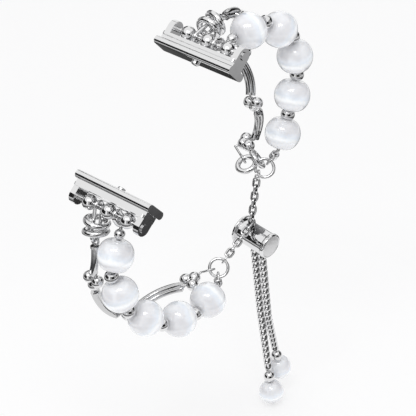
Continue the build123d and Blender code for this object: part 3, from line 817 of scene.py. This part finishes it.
class BAND_OT_tail_beads(Operator):
    """Small cat's-eye beads at the ends of the tails"""

    bl_idname = "band.tail_beads"
    bl_label = "Tail beads"

    def execute(self, context):
        sizes = context.scene.band.sizes
        master = crowned_bead(
            "tail_bead",
            sizes.tail_bead_radius,
            sizes.tail_bead_length,
            sizes.tail_crown,
            sizes.tail_bead_hole,
        )
        for side in SIDES:
            node = f"{side}_tail_bead"
            above = places_of(f"{side}_end_cap")[0].middle
            middle = places_of(node)[0].middle
            piece = copies(master, f"glass_{node}", [strung(middle, middle - above)])
            stand_in(piece, node, "cats_eye")
        discard(master)
        return {"FINISHED"}


class BAND_OT_balls(Operator):
    """Polished balls on the pins, before the beads and above the tail beads"""

    bl_idname = "band.balls"
    bl_label = "Polished balls"

    def execute(self, context):
        sizes = context.scene.band.sizes
        pins = {f"{half}_pin_balls": None for half in HALVES}
        collars = {f"{half}_collar_ball": f"{half}_bead_1" for half in HALVES}
        end_caps = {f"{side}_end_cap": f"{side}_tail_bead" for side in SIDES}
        kinds = (
            (sizes.pin_ball_radius, sizes.pin_ball_hole, pins),
            (sizes.collar_radius, sizes.collar_hole, collars),
            (sizes.end_cap_radius, sizes.end_cap_hole, end_caps),
        )
        for radius, hole, nodes in kinds:
            master = drilled_ball("ball", radius, hole)
            for node, strung_with in nodes.items():
                middles = [place.middle for place in places_of(node)]
                way = (1.0, 0.0, 0.0)
                if strung_with:
                    way = places_of(strung_with)[0].middle - middles[0]
                matrices = [strung(middle, way) for middle in middles]
                piece = copies(master, f"polished_{node}", matrices)
                stand_in(piece, node, "polished_steel")
            discard(master)
        return {"FINISHED"}


class BAND_OT_rings(Operator):
    """Knot rings and end rings, closed from wire"""

    bl_idname = "band.rings"
    bl_label = "Rings"

    def execute(self, context):
        sizes = context.scene.band.sizes
        knots = [f"{half}_knot_ring_{side}" for half in HALVES for side in ("inner", "outer")]
        end_rings = [f"{half}_end_ring" for half in HALVES]
        kinds = (
            (sizes.knot_radius, sizes.knot_wire, knots),
            (sizes.far_knot_radius, sizes.far_knot_wire, ["upper_end_knot"]),
            (sizes.end_ring_radius, sizes.end_ring_wire, end_rings),
        )
        for radius, wire, nodes in kinds:
            master = wire_ring("ring", radius, wire)
            for node in nodes:
                matrices = [place.matrix() for place in places_of(node)]
                piece = copies(master, f"closed_{node}", matrices)
                stand_in(piece, node, "polished_steel")
            discard(master)
        return {"FINISHED"}


class BAND_OT_chains(Operator):
    """Links and jump rings of the chains and tails"""

    bl_idname = "band.chains"
    bl_label = "Chains"

    def execute(self, context):
        sizes = context.scene.band.sizes
        front = Vector((0.59, -0.55, 0.58))
        link = oval_link("link", sizes.link_length, sizes.link_width, sizes.link_wire)
        curb = oval_link(
            "curb",
            sizes.curb_length,
            sizes.curb_width,
            sizes.curb_wire,
            segments=36,
            sides=12,
        )
        curb = twisted(curb, turn=pi / 2.0)
        jump = wire_ring("jump_ring", sizes.jump_radius, sizes.jump_wire, segments=40, sides=12)
        for node in CHAINS + TAILS:
            places = places_of(node)
            rings = [place.matrix() for place in places if place.round()]
            straight = [place for place in places if not place.round()]
            if node in TAILS:
                matrices = [place.flat_matrix(front) for place in straight]
                piece = copies(curb, f"links_{node}", matrices)
            else:
                matrices = [place.matrix() for place in straight]
                piece = copies(link, f"links_{node}", matrices)
            if rings:
                copies(jump, f"jump_{node}", rings).select_set(True)
                select(piece)
                bpy.ops.object.join()
            stand_in(piece, node, "chain_steel")
        discard(link, curb, jump)
        return {"FINISHED"}


class BAND_OT_clusters(Operator):
    """Clusters of balls in the metal strands, cast together"""

    bl_idname = "band.clusters"
    bl_label = "Ball clusters"

    def execute(self, context):
        sizes = context.scene.band.sizes
        for half in HALVES:
            node = f"{half}_ball_clusters"
            piece = melted(node, f"cast_{node}", sizes.cluster_grain, sizes.cluster_passes)
            stand_in(piece, node, "cast_steel")
        return {"FINISHED"}


def domed_cap(radius, thickness, dome):
    """Cap along Z: rounded edges, and a domed face inside a fine groove."""
    edge = thickness / 3.0
    groove, sunk = edge * 0.25, edge * 0.12
    upright, steps = 0.99, 8
    deselect()
    bpy.ops.mesh.primitive_cylinder_add(
        vertices=96, radius=radius, depth=thickness, end_fill_type="NGON"
    )
    start_shape("cap")
    pick("EDGE", lambda e: abs(sum(end.z for end in ends_of(e))) * JUST_OVER > thickness)
    bpy.ops.mesh.bevel(offset=edge, segments=5, affect="EDGES")
    pick("FACE", lambda face: face.normal.z > upright and len(face.vertices) > 4)
    bpy.ops.mesh.inset(thickness=groove, depth=-sunk)
    ring = (radius - edge - groove) / steps
    for step in range(1, steps):
        rise = dome * (2.0 * (steps - step) + 1.0) / steps**2
        bpy.ops.mesh.inset(thickness=ring)
        bpy.ops.transform.translate(value=(0.0, 0.0, rise))
    return finish_shape(smooth_below=0.5)


class BAND_OT_cap(Operator):
    """Domed cap of the slider, brushed inside a polished rim"""

    bl_idname = "band.cap"
    bl_label = "Slider cap"

    def execute(self, context):
        sizes = context.scene.band.sizes
        solid = solids_of("slider_cap")[0]
        place = Place(solid)
        outward = 2 * place.middle - places_of("slider_barrel")[0].middle
        matrix = place.matrix(outward)
        top = max((solid.reshape(-1, 3) - place.middle) @ np.array(matrix.col[2][:3]))
        cap = domed_cap(sizes.cap_radius, sizes.cap_thickness, sizes.cap_dome)
        lift = top - max(vertex.co.z for vertex in cap.data.vertices)
        matrices = [matrix @ Matrix.Translation((0.0, 0.0, lift))]
        piece = copies(cap, "domed_slider_cap", matrices)
        discard(cap)
        stand_in(piece, "slider_cap", "brushed_cap")
        return {"FINISHED"}


# Stage


def background(tree, fraction):
    """Share of the plain background in what the camera, the metal and the glass see."""
    path = Shade(tree).node("LightPath", "Is Camera Ray")
    seen = path.larger(path.beside("Is Glossy Ray")).larger(path.beside("Is Transmission Ray"))
    return seen * fraction


def floor_finish(tint):
    """Plain pale floor that is lit enough for a soft shadow to stay."""
    finish = Finish("floor")
    material = finish.set(Base_Color=tint, Roughness=0.8)
    start, tree = finish.start, finish.tree
    glow = start.node("Emission", "Emission", sockets={"Color": grey(1.0)})
    lit = Shade(tree, finish.shader.outputs["BSDF"])
    shown = {0: background(tree, fraction=0.60), 1: lit, 2: glow}
    surface = start.node("MixShader", "Shader", sockets=shown)
    start.feed(tree.nodes["Material Output"].inputs["Surface"], surface)
    return material


def studio_world():
    """White studio behind everything, and even soft light on the band."""
    world = bpy.data.worlds.new("studio")
    world.use_nodes = True
    bpy.context.scene.world = world
    seen = background(world.node_tree, fraction=1.0)
    shader = world.node_tree.nodes["Background"]
    seen.feed(shader.inputs["Color"], seen.between((0.84, 0.84, 0.85), grey(1.0)))
    seen.feed(shader.inputs["Strength"], 1.0)


def only_reflected(card, finish, tone):
    """Make a card a studio flag, which only the metal and glass see."""
    material = finish.set(Base_Color=tone, Roughness=1.0, Specular_IOR_Level=0.0)
    card.data.materials.append(material)
    card.visible_camera = False
    card.visible_diffuse = False
    card.visible_shadow = False


def upright_cards(name, radius, low, high, kept, tone):
    """Ring of upright cards with gaps: of sixteen sides, those that are kept."""
    deselect()
    bpy.ops.mesh.primitive_cylinder_add(
        vertices=16,
        radius=radius,
        depth=high - low,
        end_fill_type="NOTHING",
        location=(0.0, 0.0, (low + high) / 2.0),
    )
    start_shape(name)
    pick("FACE", lambda face: face.index not in kept)
    bpy.ops.mesh.delete(type="FACE")
    bpy.ops.object.mode_set(mode="OBJECT")
    only_reflected(bpy.context.object, Finish(name), grey(tone))


def low_card(name, inner, outer, high, dark, light):
    """Flat card round the band, dark near its round opening and lighter outwards."""
    fade_end = outer * 0.7
    deselect()
    bpy.ops.mesh.primitive_circle_add(
        vertices=48, radius=outer, fill_type="NGON", location=(0.0, 0.0, high)
    )
    start_shape(name)
    bpy.ops.mesh.select_all(action="SELECT")
    bpy.ops.mesh.inset(thickness=outer - inner)
    bpy.ops.mesh.delete(type="FACE")
    bpy.ops.object.mode_set(mode="OBJECT")
    finish = Finish(name)
    reach = finish.place().reach().step(low=inner, high=fade_end)
    only_reflected(bpy.context.object, finish, reach.between(grey(dark), grey(light)))


def soft_box(name, place, aim, size, power):
    """Wide soft box that faces the band."""
    light = bpy.data.lights.new(name, "AREA")
    light.shape = "RECTANGLE"
    light.size, light.size_y = size
    light.energy = power
    lamp = bpy.data.objects.new(name, light)
    lamp.location = place
    lamp.rotation_mode = "QUATERNION"
    lamp.rotation_quaternion = (Vector(aim) - Vector(place)).to_track_quat("-Z", "Y")
    bpy.context.scene.collection.objects.link(lamp)


def photo_camera():
    """Camera at the photo's place and angle."""
    place = (0.2615, -0.2317, 0.2269)
    right = Vector((0.7255, 0.6821, -0.0917))
    up = Vector((-0.3461, 0.4767, 0.8080))
    back = right.cross(up).normalized()
    lens = bpy.data.cameras.new("camera")
    lens.lens = 170.6
    lens.sensor_width = 36.0
    lens.clip_start = 0.01
    lens.clip_end = 20.0
    camera = bpy.data.objects.new("camera", lens)
    camera.matrix_world = turned((right, up, back), place)
    bpy.context.scene.collection.objects.link(camera)
    bpy.context.scene.camera = camera


class BAND_OT_stage(Operator):
    """Floor, soft light and the camera"""

    bl_idname = "band.stage"
    bl_label = "Stage"

    def execute(self, context):
        low, high = cad_box
        under, over = 0.0003, 0.001
        deselect()
        bpy.ops.mesh.primitive_plane_add(size=4.0, location=(0.0, 0.0, low.z - under))
        floor = context.object
        floor.name = "floor"
        floor.data.materials.append(floor_finish(context.scene.band.colours.floor))
        studio_world()
        dark_sides, grey_sides = (0, 1, 4, 5, 8, 9, 10, 13), (2, 3, 6, 11, 12, 15)
        upright_cards("flags_dark", radius=0.5, low=-0.09, high=0.30, kept=dark_sides, tone=0.02)
        upright_cards("flags_grey", radius=0.55, low=-0.09, high=0.45, kept=grey_sides, tone=0.40)
        low_card("flag_low", inner=0.085, outer=0.30, high=low.z + over, dark=0.03, light=0.45)
        middle = (low + high) / 2
        soft_box("key", place=(0.10, -0.14, 0.38), aim=middle, size=(0.30, 0.10), power=0.5)
        photo_camera()
        context.scene.view_settings.view_transform = "Standard"
        return {"FINISHED"}


class BandSettings(PropertyGroup):
    """Everything that a user would change."""

    sizes: PointerProperty(type=BandSizes, name="Sizes", description="Sizes of the modelled pieces")
    colours: PointerProperty(
        type=BandColours, name="Colours", description="Colours of the finishes"
    )


PIECES = (
    BAND_OT_stage,
    BAND_OT_finishes,
    BAND_OT_beads,
    BAND_OT_tail_beads,
    BAND_OT_balls,
    BAND_OT_rings,
    BAND_OT_chains,
    BAND_OT_clusters,
    BAND_OT_cap,
)


class BAND_PT_panel(Panel):
    """Sizes, colours and one button for each group of pieces"""

    bl_label = "Bead watch band"
    bl_idname = "BAND_PT_panel"
    bl_space_type = "VIEW_3D"
    bl_region_type = "UI"
    bl_category = "Band"

    def draw(self, context):
        settings = context.scene.band
        for group in (settings.sizes, settings.colours):
            column = self.layout.column(align=True)
            for name in group.__annotations__:
                column.prop(group, name)
        for piece in PIECES:
            self.layout.operator(piece.bl_idname)


CLASSES = (BandSizes, BandColours, BandSettings, *PIECES, BAND_PT_panel)


def register():
    for item in CLASSES:
        bpy.utils.register_class(item)
    bpy.types.Scene.band = PointerProperty(type=BandSettings)


def unregister():
    del bpy.types.Scene.band
    for item in reversed(CLASSES):
        bpy.utils.unregister_class(item)


def main():
    register()
    bpy.ops.band.stage()
    bpy.ops.band.finishes()
    bpy.ops.band.beads()
    bpy.ops.band.tail_beads()
    bpy.ops.band.balls()
    bpy.ops.band.rings()
    bpy.ops.band.chains()
    bpy.ops.band.clusters()
    bpy.ops.band.cap()


if __name__ == "__main__":
    main()
